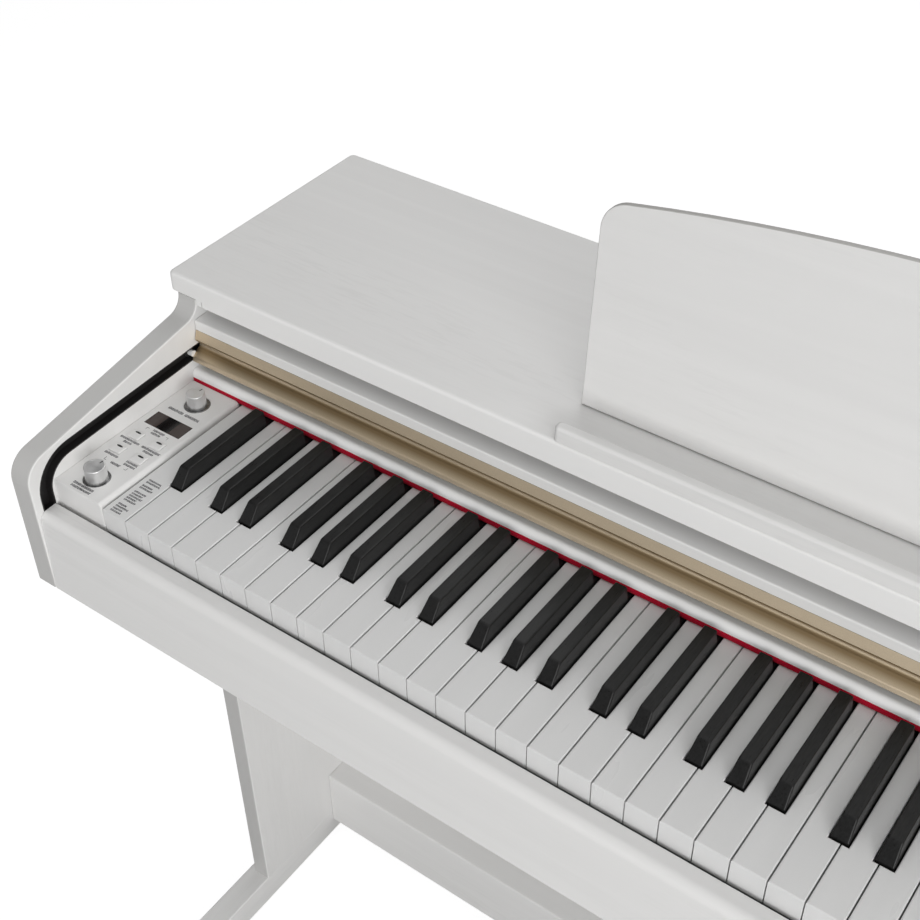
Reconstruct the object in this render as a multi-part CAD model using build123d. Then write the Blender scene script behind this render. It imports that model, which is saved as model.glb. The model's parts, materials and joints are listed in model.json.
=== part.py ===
from build123d import *
import math
import os

# A console digital piano on its stand. Millimetres throughout.
# Shapes are drawn on the keyboard's datum: x from the middle of the keyboard, y back from the
# fronts of the white keys, z up from the white key tops. save() moves them to the row frame,
# whose origin is on the floor, under the middle of the piano's box.

# Driving dimensions
KEY_PITCH = 23.5
WHITE_COUNT = 52
KEY_TOP_HEIGHT = 735.0
BLOCK_WIDTH = 51.0
SIDE_THICK = 20.0
TOP_OVERHANG = 8.0
FRONT_Y = -22.5
TOP_FRONT_Y = 165.0
TOP_REAR_Y = 396.0
TOP_UNDER_Z = 72.5
TOP_THICK = 17.0
BED_UNDER_Z = -94.0
BED_THICK = 18.0
LEG_FRONT_Y = 138.0
BACK_REAR_Y = 388.0
BACK_THICK = 12.0
FIT = 0.3

# Worked out from them
HALF_KEYS = KEY_PITCH * WHITE_COUNT / 2
INNER_X = HALF_KEYS + BLOCK_WIDTH
OUTER_X = INNER_X + SIDE_THICK
TOP_HALF = OUTER_X + TOP_OVERHANG
TOP_Z = TOP_UNDER_Z + TOP_THICK
FLOOR_Z = -KEY_TOP_HEIGHT
MID_Y = (FRONT_Y + TOP_REAR_Y) / 2
BETWEEN_X = INNER_X - FIT
BED_TOP_Z = BED_UNDER_Z + BED_THICK

# Keys
KEY_GAP = 0.9
WHITE_LENGTH = 208.0
WHITE_DEPTH = 17.0
WHITE_FRONT_DEPTH = 22.0
WHITE_LIP = 3.0
WHITE_EDGE_ROUND = 0.9
BLACK_FRONT_Y = 48.5
BLACK_REAR_Y = 142.7
BLACK_HEIGHT = 12.5
BLACK_BASE_WIDTH = 11.6
BLACK_TOP_WIDTH = 9.2
BLACK_TOP_FRONT_Y = 59.5
BLACK_STICK_WIDTH = 9.6
NOTCH_FRONT_Y = 47.2
NOTCH_HALF_WIDTH = 6.7
PIVOT_Y = 200.0
PIVOT_Z = -10.0
PIVOT_R = 3.0
PIVOT_PLAY = 0.06
OCTAVE_START = 2
LETTERS = "ABCDEFG"
# How far each sharp's middle stands from the line between its two white keys
SHARP_OFFSET = {"A": 4.6, "C": -1.8, "D": 2.6, "F": -3.9, "G": 0.8}

# Key block and its controls
BLOCK_TOP_Z = 3.0
BLOCK_REAR_Y = 149.0
FELT_LOW_Z = 0.5
FELT_TOP_Z = 6.1
PANEL_X = -HALF_KEYS - 26.5
DISPLAY_Y = 96.0
DISPLAY_SIZE = (37.4, 16.3)
VOLUME_Y = 127.5
DATA_Y = 19.8
KNOB_X = PANEL_X + 0.8
VOLUME_R = 7.5
DATA_R = 8.3
KNOB_TOP_Z = 15.2
POINTER_ANGLE = 80.0
WELL_R = 10.8
WELL_DEPTH = 1.4
SHAFT_R = 3.0
BUTTON_DX = 11.2
BUTTON_YS = (72.4, 52.8)
BUTTON_SIZE = (11.0, 9.0)
BUTTON_PROUD = 1.2

# Sliding key cover and its groove
GROOVE_SLOPE = 2.06
GROOVE_HALF = 5.0
GROOVE_DEPTH = 6.5
GROOVE_REAR_Y = 346.0
GROOVE_FRONT_Y = -9.0
GROOVE_END_Z = -17.0
GROOVE_BEND_R = 29.0
GROOVE_Z_AT_BEND = 22.6
LINER_WALL = 1.2
ROLLER_R = 4.6
ROLLER_THICK = 1.8
AXLE_R = 2.6
ROLLER_YS = (153.6, 326.0)
COVER_END_X = INNER_X - 0.8
COVER_BOARD_THICK = 8.7
COVER_FRONT_Y = 160.0
COVER_TOP_Z = 56.0
COVER_REAR_Y = 338.0

# Music rest. Its hinge line lies behind it, and heights along it are taken from that line
REST_HALF = 332.2
REST_THICK = 5.0
REST_REAR_GAP = 3.0
REST_LEAN = 5.0
REST_HINGE_Y = 217.0
REST_HINGE_Z = TOP_Z + 4.6
REST_FOOT = -4.3
REST_SIDE_TOP = 150.4
REST_MIDDLE_TOP = 184.7
REST_CORNER_R = 22.0
HINGE_X = 220.0
HINGE_KNUCKLE_R = 2.6
HINGE_PIN_R = 1.5
HINGE_HALF = 24.0
KNUCKLE_HALF = 10.0
LEAF_HEIGHT = 20.0
PROP_PIVOT_Y = REST_HINGE_Y + 57.2
PROP_PIVOT_Z = TOP_Z + 2.0
PROP_WIRE_R = 1.5
PROP_LENGTH = 79.8
PROP_ANGLE = 132.0
PROP_HALF = 60.0
PROP_BEND_R = 7.0
SADDLE_XS = (-30.0, 30.0)

# Pedals and lower frame
BEAM_TOP_Z = -628.0
BEAM_FRONT_Y = 250.0
BEAM_REAR_Y = 345.0
BEAM_BOTTOM_Z = -708.0
KICK_THICK = 12.0
KICK_TOP_Z = -330.0
BOARD_THICK = 18.0
PEDAL_XS = (-70.0, 0.0, 70.0)
PEDAL_NAMES = ("soft", "middle", "sustain")
PEDAL_SHAFT_Y = 312.0
PEDAL_SHAFT_Z = -672.0
PEDAL_SHAFT_R = 4.0
PEDAL_FRONT_Y = 152.0
FOOT_HEIGHT = 42.0
FOOT_WIDTH = 27.0
PAD_HEIGHT = 6.0
PAD_R = 13.0
PAD_YS = (8.0, 360.0)
BUSH_Y = 281.0

# Loudspeakers, power button and mains inlet
SPEAKER_X = 430.0
SPEAKER_Y = 282.0
SPEAKER_HOLE_R = 54.0
GRILLE_R = 62.0
GRILLE_THICK = 2.5
GRILLE_PITCH = 9.0
POWER_Y = 118.0
POWER_R = 6.5
INLET_X = 520.0
INLET_Z = -45.0


def block(x0, x1, y0, y1, z0, z1):
    """A box from its lowest to its highest corner."""
    return Pos((x0 + x1) / 2, (y0 + y1) / 2, (z0 + z1) / 2) * Box(x1 - x0, y1 - y0, z1 - z0)


def along_x(face_wires, x0, x1):
    """Extrude a profile, drawn as (y, z), from x0 to x1."""
    return extrude(Plane.YZ.offset(x0) * face_wires, x1 - x0)


def profile(points, x0, x1):
    return along_x(make_face(Polyline(*points, close=True)), x0, x1)


def rod_x(x0, x1, y, z, r):
    return Pos((x0 + x1) / 2, y, z) * Rot(0, 90, 0) * Cylinder(r, x1 - x0)


def edges_at(shape, axis, value, tolerance=0.05):
    """Edges whose middle is at one height on an axis."""
    return [e for e in shape.edges() if abs(getattr(e.center(), axis) - value) < tolerance]


def save(name, *solids):
    moved = [Pos(0, -MID_Y, KEY_TOP_HEIGHT) * s for shape in solids for s in shape.solids()]
    whole = moved[0] if len(moved) == 1 else Compound(children=moved)
    export_step(whole, f"parts/{name}.step")


def mirrored(shape):
    return mirror(shape, about=Plane.YZ)


# Case

def groove_line_z(y):
    return GROOVE_Z_AT_BEND + (y - GROOVE_FRONT_Y - GROOVE_BEND_R) * math.tan(math.radians(GROOVE_SLOPE))


def groove_face(half):
    """The groove's outline: straight back along the slope, and bent down at the front."""
    slope = math.radians(GROOVE_SLOPE)
    centre_y = GROOVE_FRONT_Y + GROOVE_BEND_R
    centre_z = groove_line_z(centre_y) - GROOVE_BEND_R / math.cos(slope)
    corner = (centre_y - GROOVE_BEND_R * math.sin(slope), centre_z + GROOVE_BEND_R * math.cos(slope))
    rear = (GROOVE_REAR_Y, groove_line_z(GROOVE_REAR_Y))
    turn = math.radians(135 + GROOVE_SLOPE / 2)
    middle = (centre_y + GROOVE_BEND_R * math.cos(turn), centre_z + GROOVE_BEND_R * math.sin(turn))
    low, end = (GROOVE_FRONT_Y, centre_z), (GROOVE_FRONT_Y, GROOVE_END_Z)
    path = Line(rear, corner) + ThreePointArc(corner, middle, low) + Line(low, end)
    return make_face(offset(path, half, side=Side.BOTH).edges())


def side_board():
    """Cheek, side and leg cut from one board, for the treble side."""
    slope_y, slope_z, slope = 12.4, 33.1, 0.174
    corner_z = slope_z + (FRONT_Y - slope_y) * slope
    step_z = slope_z + (TOP_FRONT_Y - slope_y) * slope
    outline = Polyline(
        (FRONT_Y, BED_UNDER_Z),
        (FRONT_Y, corner_z),
        (TOP_FRONT_Y, step_z),
        (TOP_FRONT_Y, TOP_UNDER_Z),
        (BACK_REAR_Y, TOP_UNDER_Z),
        (BACK_REAR_Y, FLOOR_Z + FOOT_HEIGHT),
        (LEG_FRONT_Y, FLOOR_Z + FOOT_HEIGHT),
        (LEG_FRONT_Y, BED_UNDER_Z),
        close=True,
    )
    face = make_face(outline)
    corners = {(FRONT_Y, corner_z): 22.0, (TOP_FRONT_Y, step_z): 14.5, (LEG_FRONT_Y, BED_UNDER_Z): 30.0}
    for (y, z), r in corners.items():
        nearest = min(face.vertices(), key=lambda v: math.hypot(v.X - y, v.Y - z))
        face = fillet(nearest, r)
    board = along_x(face, INNER_X, OUTER_X)
    middle_x = (INNER_X + OUTER_X) / 2
    seen = [e for e in board.edges() if e.center().Y < TOP_FRONT_Y - 0.5 and abs(e.center().X - middle_x) > 5]
    board = fillet(seen, 1.6)
    return board - liner_body()


def liner_body():
    """The room that a groove's liner takes up in the side board."""
    return along_x(groove_face(GROOVE_HALF + LINER_WALL), INNER_X, INNER_X + GROOVE_DEPTH + LINER_WALL)


def groove_liner():
    return liner_body() - along_x(groove_face(GROOVE_HALF), INNER_X, INNER_X + GROOVE_DEPTH)


def top_panel():
    """Lid board with a shallow drop rail along the front, between the sides."""
    board = block(-TOP_HALF, TOP_HALF, TOP_FRONT_Y, TOP_REAR_Y, TOP_UNDER_Z, TOP_Z)
    board = fillet(board.edges().filter_by(Axis.Z), 5.0)
    board = fillet(edges_at(board, "Z", TOP_Z), 3.0)
    board = fillet(edges_at(board, "Z", TOP_UNDER_Z), 1.0)
    rail_rear_y, rail_low_z = TOP_FRONT_Y + 18.0, TOP_UNDER_Z - 5.0
    board += block(-BETWEEN_X, BETWEEN_X, TOP_FRONT_Y, rail_rear_y, rail_low_z, TOP_UNDER_Z + 4)
    slit_x, slit_width = INNER_X - 6.6, 1.2
    for x in (slit_x, -slit_x - slit_width):
        board -= block(x, x + slit_width, TOP_FRONT_Y - 1, rail_rear_y + 1, rail_low_z - 1, TOP_UNDER_Z)
    return board


def music_ledge():
    height, thick, half = 12.0, 9.6, 327.5
    strip = block(-half, half, TOP_FRONT_Y + 0.4, TOP_FRONT_Y + 0.4 + thick, TOP_Z, TOP_Z + height)
    strip = fillet(strip.edges().filter_by(Axis.Z), 4.0)
    return fillet(edges_at(strip, "Z", TOP_Z + height), 2.6)


def back_panel():
    front_y = BACK_REAR_Y - BACK_THICK
    panel = block(-BETWEEN_X, BETWEEN_X, front_y, BACK_REAR_Y, BED_UNDER_Z, TOP_UNDER_Z - FIT)
    inlet_hole = Box(32.0, BACK_THICK * 3, 24.0)
    return panel - Pos(INLET_X, BACK_REAR_Y, INLET_Z) * inlet_hole


def power_inlet():
    """Two-pin mains inlet set in the back panel, open to the rear."""
    flange = Pos(0, 1.25, 0) * Box(42.0, 2.5, 32.0)
    body = Pos(0, -13.0, 0) * Box(31.4, 26.0, 23.4)
    well = Pos(0, -6.5, 0) * Box(24.0, 23.0, 14.0)
    inlet = flange + body - well
    pin_r, pin_length, pin_dx = 1.2, 14.0, 4.5
    for dx in (-pin_dx, pin_dx):
        inlet += Pos(dx, -12.0, 0) * Rot(90, 0, 0) * Cylinder(pin_r, pin_length)
    return Pos(INLET_X, BACK_REAR_Y, INLET_Z) * inlet


def key_bed():
    bed = block(-BETWEEN_X, BETWEEN_X, -2.8, BACK_REAR_Y - BACK_THICK - FIT, BED_UNDER_Z, BED_TOP_Z)
    for x in (-SPEAKER_X, SPEAKER_X):
        bed -= Pos(x, SPEAKER_Y, BED_UNDER_Z) * Cylinder(SPEAKER_HOLE_R, BED_THICK * 3)
    return bed


def keyslip():
    top_z, rear_y = -18.0, -3.3
    outline = [(FRONT_Y + 0.2, BED_UNDER_Z), (-19.4, top_z), (rear_y, top_z), (rear_y, BED_UNDER_Z)]
    rail = profile(outline, -BETWEEN_X, BETWEEN_X)
    front = [e for e in edges_at(rail, "Z", top_z) if e.center().Y < -15]
    rail = fillet(front, 7.0)
    rear = [e for e in edges_at(rail, "Z", top_z) if abs(e.center().Y - rear_y) < 0.1]
    return fillet(rear, 0.8)


def speaker_driver(x):
    """Basket, magnet and cone of one downward-facing driver."""
    rim_thick, basket_deep, magnet_deep, bowl_deep = 4.0, 26.0, 14.0, 22.0
    driver = Pos(0, 0, rim_thick / 2) * Cylinder(60, rim_thick)
    driver += Pos(0, 0, rim_thick + basket_deep / 2) * Cone(50, 34, basket_deep)
    driver += Pos(0, 0, rim_thick + basket_deep + magnet_deep / 2) * Cylinder(30, magnet_deep)
    driver -= Pos(0, 0, bowl_deep / 2 - rim_thick) * Cone(48, 16, bowl_deep)
    return Pos(x, SPEAKER_Y, BED_TOP_Z) * driver


def speaker_grille(x):
    """A round plate with parallel slots that fill a circle."""
    plate = Pos(x, SPEAKER_Y, BED_UNDER_Z - GRILLE_THICK / 2) * Cylinder(GRILLE_R, GRILLE_THICK)
    slotted_r, slot_half = 50.0, 1.6
    for i in range(-5, 6):
        y = SPEAKER_Y + i * GRILLE_PITCH
        half = math.sqrt(slotted_r**2 - (i * GRILLE_PITCH) ** 2)
        plate -= block(x - half, x + half, y - slot_half, y + slot_half, BED_UNDER_Z - 4, BED_UNDER_Z + 1)
    return plate


# Key blocks and controls

def shell_block(x0, x1, rounded_x):
    """A key block: a box open underneath, its long edge beside the keys well rounded."""
    shell = block(x0, x1, 0.0, BLOCK_REAR_Y, -30.0, BLOCK_TOP_Z)
    long_edge = [e for e in edges_at(shell, "Z", BLOCK_TOP_Z) if abs(e.center().X - rounded_x) < 0.1]
    shell = fillet(long_edge, 3.6)
    front = [e for e in shell.edges() if abs(e.center().Y) < 0.1 and e.center().Z > BLOCK_TOP_Z - 5]
    shell = fillet([e for e in front if e.length > 5], 1.0)
    return shell - block(x0 + 3, x1 - 3, 3.0, BLOCK_REAR_Y - 3, -31.0, BLOCK_TOP_Z - 4.0)


def button_centres():
    return [(PANEL_X + dx, y) for y in BUTTON_YS for dx in (-BUTTON_DX, BUTTON_DX)]


def control_block():
    shell = shell_block(-BETWEEN_X, -HALF_KEYS - 1.2, -HALF_KEYS - 1.2)
    for y in (VOLUME_Y, DATA_Y):
        shell -= Pos(KNOB_X, y, BLOCK_TOP_Z - WELL_DEPTH / 2) * Cylinder(WELL_R, WELL_DEPTH)
        shell -= Pos(KNOB_X, y, BLOCK_TOP_Z - 4) * Cylinder(SHAFT_R + 0.06, 12)
    width, depth = BUTTON_SIZE
    for x, y in button_centres():
        shell -= Pos(x, y, BLOCK_TOP_Z - 3) * Box(width + 2 * FIT, depth + 2 * FIT, 10)
    long, short = DISPLAY_SIZE
    return shell - Pos(PANEL_X, DISPLAY_Y, BLOCK_TOP_Z) * Box(long, short, 2.4)


def display_window():
    long, short = DISPLAY_SIZE
    return Pos(PANEL_X, DISPLAY_Y, BLOCK_TOP_Z - 0.65) * Box(long - 0.1, short - 0.1, 1.1)


def knob_collar(y):
    """Dark ring on the floor of a knob's well."""
    ring = Pos(KNOB_X, y, BLOCK_TOP_Z - WELL_DEPTH + 0.3) * Cylinder(WELL_R - 0.05, 0.6)
    return ring - Pos(KNOB_X, y, BLOCK_TOP_Z) * Cylinder(SHAFT_R + 1.0, 6)


def knob(y, radius):
    """A turned knob on its shaft: hardly tapered, dished on top, with a pointer slot."""
    base_z = BLOCK_TOP_Z - WELL_DEPTH + 0.6 + FIT
    height, taper = KNOB_TOP_Z - base_z, 0.35
    body = Pos(0, 0, base_z + height / 2) * Cone(radius + taper, radius, height)
    body = fillet(edges_at(body, "Z", KNOB_TOP_Z), 0.6)
    body -= Pos(0, 0, KNOB_TOP_Z) * Cylinder(radius - 1.2, 0.4)
    slot = Pos(radius - 1.9, 0, KNOB_TOP_Z) * Box(3.4, 0.9, 0.9)
    body -= Rot(0, 0, POINTER_ANGLE) * slot
    shaft = Pos(0, 0, (base_z - 12) / 2) * Cylinder(SHAFT_R, base_z + 12)
    return Pos(KNOB_X, y, 0) * (body + shaft)


def panel_button(x, y):
    width, depth = BUTTON_SIZE
    cap = Pos(x, y, BLOCK_TOP_Z + BUTTON_PROUD - 2.6) * Box(width, depth, 5.2)
    cap = fillet(edges_at(cap, "Z", BLOCK_TOP_Z + BUTTON_PROUD), 0.8)
    cap -= Pos(x - 0.3, y + 2.7, BLOCK_TOP_Z + BUTTON_PROUD) * Box(6.4, 2.1, 0.6)
    return cap + Pos(x, y, BLOCK_TOP_Z - 8.5) * Cylinder(2.0, 9.4)


def power_block():
    shell = shell_block(HALF_KEYS + 1.2, BETWEEN_X, HALF_KEYS + 1.2)
    return shell - Pos(-PANEL_X, POWER_Y, BLOCK_TOP_Z - 3) * Cylinder(POWER_R + FIT, 10)


def power_button():
    cap = Pos(-PANEL_X, POWER_Y, BLOCK_TOP_Z - 1.4) * Cylinder(POWER_R, 6.0)
    cap = fillet(edges_at(cap, "Z", BLOCK_TOP_Z + 1.6), 0.8)
    return cap + Pos(-PANEL_X, POWER_Y, BLOCK_TOP_Z - 8.9) * Cylinder(2.0, 9.4)


def felt_strip():
    return block(-BETWEEN_X, BETWEEN_X, BLOCK_REAR_Y + 0.5, BLOCK_REAR_Y + 3.5, FELT_LOW_Z, FELT_TOP_Z)


def stop_rail():
    """White rail over the felt, rounded towards the player."""
    y0, y1, z1 = BLOCK_REAR_Y + 0.7, BLOCK_REAR_Y + 16, 13.2
    rail = block(-BETWEEN_X, BETWEEN_X, y0, y1, FELT_TOP_Z, z1)
    front = [e for e in edges_at(rail, "Z", z1) if abs(e.center().Y - y0) < 0.1]
    rail = fillet(front, 5.0)
    return rail + block(-BETWEEN_X, BETWEEN_X, y0 + 3.0, y1, 0.9, FELT_TOP_Z)


def circuit_boards():
    thick, post_height, control_z, sensor_z = 1.6, 8.0, -14.5, -50.0
    control = block(PANEL_X - 21, PANEL_X + 21, 8, 141, control_z, control_z + thick)
    main_z = BED_TOP_Z + post_height
    main = block(-160, 160, 250, 340, main_z, main_z + thick)
    for x in (-150, 150):
        for y in (258, 332):
            main += Pos(x, y, BED_TOP_Z + post_height / 2) * Cylinder(4, post_height)
    components = ((-90, 290, 40, 40, 5), (10, 300, 24, 24, 3), (90, 280, 50, 30, 18))
    for x, y, width, depth, height in components:
        main += Pos(x, y, main_z + thick + height / 2) * Box(width, depth, height)
    sensors = block(-HALF_KEYS + 6, HALF_KEYS - 6, 84, 112, sensor_z, sensor_z + thick)
    return control, main, sensors


# Keys

def letter(i):
    return LETTERS[i % 7]


def white_left(i):
    return -HALF_KEYS + i * KEY_PITCH


def sharp_x(i):
    """Middle of the sharp that follows white key i, or None."""
    if letter(i) not in SHARP_OFFSET or not 0 <= i < WHITE_COUNT - 1:
        return None
    return white_left(i + 1) + SHARP_OFFSET[letter(i)]


def pivot_slot(shape, x0, x1):
    """Cut the hook that drops over the pivot rod, open downwards."""
    r = PIVOT_R + PIVOT_PLAY
    shape -= rod_x(x0 - 1, x1 + 1, PIVOT_Y, PIVOT_Z, r)
    return shape - block(x0 - 1, x1 + 1, PIVOT_Y - r, PIVOT_Y + r, -40, PIVOT_Z)


def white_key(i):
    x0, x1 = white_left(i) + KEY_GAP / 2, white_left(i + 1) - KEY_GAP / 2
    before, after = sharp_x(i - 1), sharp_x(i)
    tail0 = x0 if before is None else max(x0, before + NOTCH_HALF_WIDTH)
    tail1 = x1 if after is None else min(x1, after - NOTCH_HALF_WIDTH)
    key = block(x0, x1, 0, NOTCH_FRONT_Y, -WHITE_DEPTH, 0)
    key += block(tail0, tail1, NOTCH_FRONT_Y - 1, WHITE_LENGTH, -WHITE_DEPTH, 0)
    rim = [e for e in edges_at(key, "Z", 0) if e.center().Y < WHITE_LENGTH - 1]
    key = fillet(rim, WHITE_EDGE_ROUND)
    key += block(x0, x1, 0, WHITE_LIP, -WHITE_FRONT_DEPTH, -WHITE_DEPTH)
    return pivot_slot(key, x0, x1)


def black_key(i):
    x = sharp_x(i)
    z0 = 0.8
    low = Rectangle(BLACK_BASE_WIDTH, BLACK_REAR_Y - BLACK_FRONT_Y)
    high = Rectangle(BLACK_TOP_WIDTH, BLACK_REAR_Y - BLACK_TOP_FRONT_Y)
    low = Pos(x, (BLACK_FRONT_Y + BLACK_REAR_Y) / 2, z0) * low
    high = Pos(x, (BLACK_TOP_FRONT_Y + BLACK_REAR_Y) / 2, BLACK_HEIGHT) * high
    cap = loft([low, high], ruled=True)
    front_top = [e for e in edges_at(cap, "Z", BLACK_HEIGHT) if e.center().Y < BLACK_TOP_FRONT_Y + 0.1]
    cap = fillet(front_top, 3.4)
    upper = [e for e in cap.edges() if e.center().Z > z0 + 1 and e.center().Y < BLACK_REAR_Y - 1]
    cap = fillet([e for e in upper if abs(e.center().X - x) > 3], 1.3)
    skirt = block(x - BLACK_BASE_WIDTH / 2, x + BLACK_BASE_WIDTH / 2, BLACK_FRONT_Y, BLACK_REAR_Y, -3, z0)
    half = BLACK_STICK_WIDTH / 2
    stick = block(x - half, x + half, BLACK_FRONT_Y + 2, WHITE_LENGTH, -WHITE_DEPTH, -0.4)
    return pivot_slot(cap + skirt + stick, x - half, x + half)


def key_frame():
    """Frame under the keys: a plate with stop and sensor rails, and the rib that carries the rod."""
    half, floor_z, seam = HALF_KEYS - 1, BED_TOP_Z + 3, 0.02
    plate = block(-half, half, 12, 214, BED_TOP_Z, floor_z)
    rib_front, rib_rear = PIVOT_Y - 2, PIVOT_Y + 2
    rails = [(14, 30, -36), (88, 108, -50.2)]
    rails += [(PIVOT_Y - 8, rib_front - seam, -40), (rib_rear + seam, 212, -40)]
    solids = [block(-half, half, y0, y1, floor_z + seam, top_z) for y0, y1, top_z in rails]
    rib = block(-half, half, rib_front, rib_rear, floor_z + seam, PIVOT_Z)
    rib -= rod_x(-half - 1, half + 1, PIVOT_Y, PIVOT_Z, PIVOT_R + 0.02)
    return [plate, rib, *solids]


def key_name(i, sharp):
    octave = (i + 5) // 7
    return f"key_{letter(i).lower()}{'_sharp' if sharp else ''}_{octave}"


def save_keys():
    """One octave is saved key by key. The rest share a white node and a black node."""
    others = {"white": [], "black": []}
    single = range(OCTAVE_START, OCTAVE_START + 7)
    for i in range(WHITE_COUNT):
        key = white_key(i)
        if i in single:
            save(key_name(i, False), key)
        else:
            others["white"].append(key)
        if sharp_x(i) is None:
            continue
        sharp = black_key(i)
        if i in single:
            save(key_name(i, True), sharp)
        else:
            others["black"].append(sharp)
    save("keys_white_others", *others["white"])
    save("keys_black_others", *others["black"])


# Sliding key cover

def slope_shift(y):
    return (y - COVER_FRONT_Y) * math.tan(math.radians(GROOVE_SLOPE))


def cover_slab(y0, y1):
    """A length of the cover board, which rises to the rear with the groove."""
    corners = ((y0, COVER_BOARD_THICK), (y0, 0.0), (y1, 0.0), (y1, COVER_BOARD_THICK))
    points = [(y, COVER_TOP_Z - drop + slope_shift(y)) for y, drop in corners]
    return profile(points, -COVER_END_X, COVER_END_X)


def cover_lip():
    lip = cover_slab(COVER_FRONT_Y, COVER_FRONT_Y + 11)
    front = [e for e in lip.edges() if abs(e.center().Y - COVER_FRONT_Y) < 0.1]
    return fillet([e for e in front if e.center().Z > COVER_TOP_Z - 1], 1.3)


def cover_trim():
    """Metal finger rail: a flat band, a fine groove, a cove, and a slope out to a nose."""
    band_top, band_low = (COVER_FRONT_Y - 0.2, 47.2), (157.4, 39.4)
    groove_in, groove_out = (158.5, 39.0), (157.6, 38.5)
    cove_top, cove_deep, cove_low = (158.2, 37.2), (161.6, 34.2), (159.2, 30.0)
    nose_top, nose_middle, nose_low = (153.9, 26.1), (152.8, 25.2), (152.3, 24.0)
    lip_front, lip_under, under = (151.7, 21.8), (152.2, 20.8), (158.5, 22.6)
    back_low, back_top = (169.0, 24.0), (169.0, 47.2)
    outline = [
        Polyline(band_top, band_low, groove_in, groove_out, cove_top),
        ThreePointArc(cove_top, cove_deep, cove_low),
        Line(cove_low, nose_top),
        ThreePointArc(nose_top, nose_middle, nose_low),
        Polyline(nose_low, lip_front, lip_under, under, back_low, back_top, band_top),
    ]
    return along_x(make_face(outline), -COVER_END_X, COVER_END_X)


def cover_rollers():
    """Two guide rollers at each end, on thin axles, which run in the side boards' grooves."""
    rollers = []
    far = INNER_X + GROOVE_DEPTH - 1.0
    near = far - ROLLER_THICK
    for y in ROLLER_YS:
        z = groove_line_z(y)
        roller = chamfer(rod_x(near, far, y, z, ROLLER_R).edges().filter_by(GeomType.CIRCLE), 0.5)
        roller += rod_x(COVER_END_X, near, y, z, AXLE_R)
        rollers += [roller, mirrored(roller)]
    return rollers


def cover_board():
    """The sliding board, with an arm at each rear end that drops to its roller."""
    board = cover_slab(COVER_FRONT_Y + 11, COVER_REAR_Y)
    arm_y, arm_low_z = ROLLER_YS[1] - 12, groove_line_z(ROLLER_YS[1]) - 6
    arm = block(COVER_END_X - 12, COVER_END_X, arm_y, COVER_REAR_Y, arm_low_z, COVER_TOP_Z)
    return board + arm + mirrored(arm)


# Music rest

def lean_frame():
    """Moves a shape drawn about the hinge line, standing upright, to the rest's lean."""
    return Pos(0, REST_HINGE_Y, REST_HINGE_Z) * Rot(-REST_LEAN, 0, 0)


def rest_panel():
    """A board with an arched top, standing in front of its hinge line."""
    side, middle = (REST_HALF, REST_SIDE_TOP), (0, REST_MIDDLE_TOP)
    top_edge = ThreePointArc((-REST_HALF, REST_SIDE_TOP), middle, side)
    rest_of_it = Polyline(side, (REST_HALF, REST_FOOT), (-REST_HALF, REST_FOOT), (-REST_HALF, REST_SIDE_TOP))
    face = make_face(top_edge.edges() + rest_of_it.edges())
    face = fillet([v for v in face.vertices() if v.Y > 100], REST_CORNER_R)
    panel = extrude(Plane.XZ.offset(REST_REAR_GAP) * face, REST_THICK)
    middle_y = -REST_REAR_GAP - REST_THICK / 2
    rim = [e for e in panel.edges() if abs(e.center().Y - middle_y) > REST_THICK / 2 - 0.05]
    return lean_frame() * fillet(rim, 1.2)


def rest_hinges():
    """The rest's half of each hinge: two leaves on its back, and the pin between them."""
    hinges = []
    for x in (-HINGE_X, HINGE_X):
        hinge = rod_x(x - HINGE_HALF, x + HINGE_HALF, 0, 0, HINGE_PIN_R)
        for x0, x1 in ((x - HINGE_HALF, x - KNUCKLE_HALF - FIT), (x + KNUCKLE_HALF + FIT, x + HINGE_HALF)):
            hinge += rod_x(x0, x1, 0, 0, HINGE_KNUCKLE_R)
            hinge += block(x0, x1, -REST_REAR_GAP, -REST_REAR_GAP + 1.8, 0, LEAF_HEIGHT)
        hinges.append(lean_frame() * hinge)
    return hinges


def rest_brackets():
    """The lid's half of each hinge, and the saddles of the rest's prop."""
    solids = []
    bore = HINGE_PIN_R + 0.06
    plate_thick, plate_rear, post_half = 2.0, REST_HINGE_Y + 20, 2.2
    for x in (-HINGE_X, HINGE_X):
        x0, x1 = x - KNUCKLE_HALF, x + KNUCKLE_HALF
        bracket = block(x0, x1, REST_HINGE_Y - HINGE_KNUCKLE_R, plate_rear, TOP_Z, TOP_Z + plate_thick)
        bracket += block(x0, x1, REST_HINGE_Y - post_half, REST_HINGE_Y + post_half, TOP_Z + 1, REST_HINGE_Z)
        bracket += rod_x(x0, x1, REST_HINGE_Y, REST_HINGE_Z, HINGE_KNUCKLE_R)
        solids.append(bracket - rod_x(x0 - 1, x1 + 1, REST_HINGE_Y, REST_HINGE_Z, bore))
    wire_bore, saddle_half, plate_half, saddle_thick = PROP_WIRE_R + 0.06, 7.0, 9.0, 0.45
    for x in SADDLE_XS:
        x0, x1 = x - saddle_half, x + saddle_half
        y0, y1 = PROP_PIVOT_Y - plate_half, PROP_PIVOT_Y + plate_half
        saddle = block(x0, x1, y0, y1, TOP_Z, TOP_Z + saddle_thick)
        saddle += rod_x(x0, x1, PROP_PIVOT_Y, PROP_PIVOT_Z, PROP_WIRE_R + 0.5)
        saddle -= rod_x(x0 - 1, x1 + 1, PROP_PIVOT_Y, PROP_PIVOT_Z, wire_bore)
        saddle -= block(x0 - 1, x1 + 1, y0 - 1, y1 + 1, TOP_Z - 3, TOP_Z)
        solids += saddle.solids()
    return solids


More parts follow.
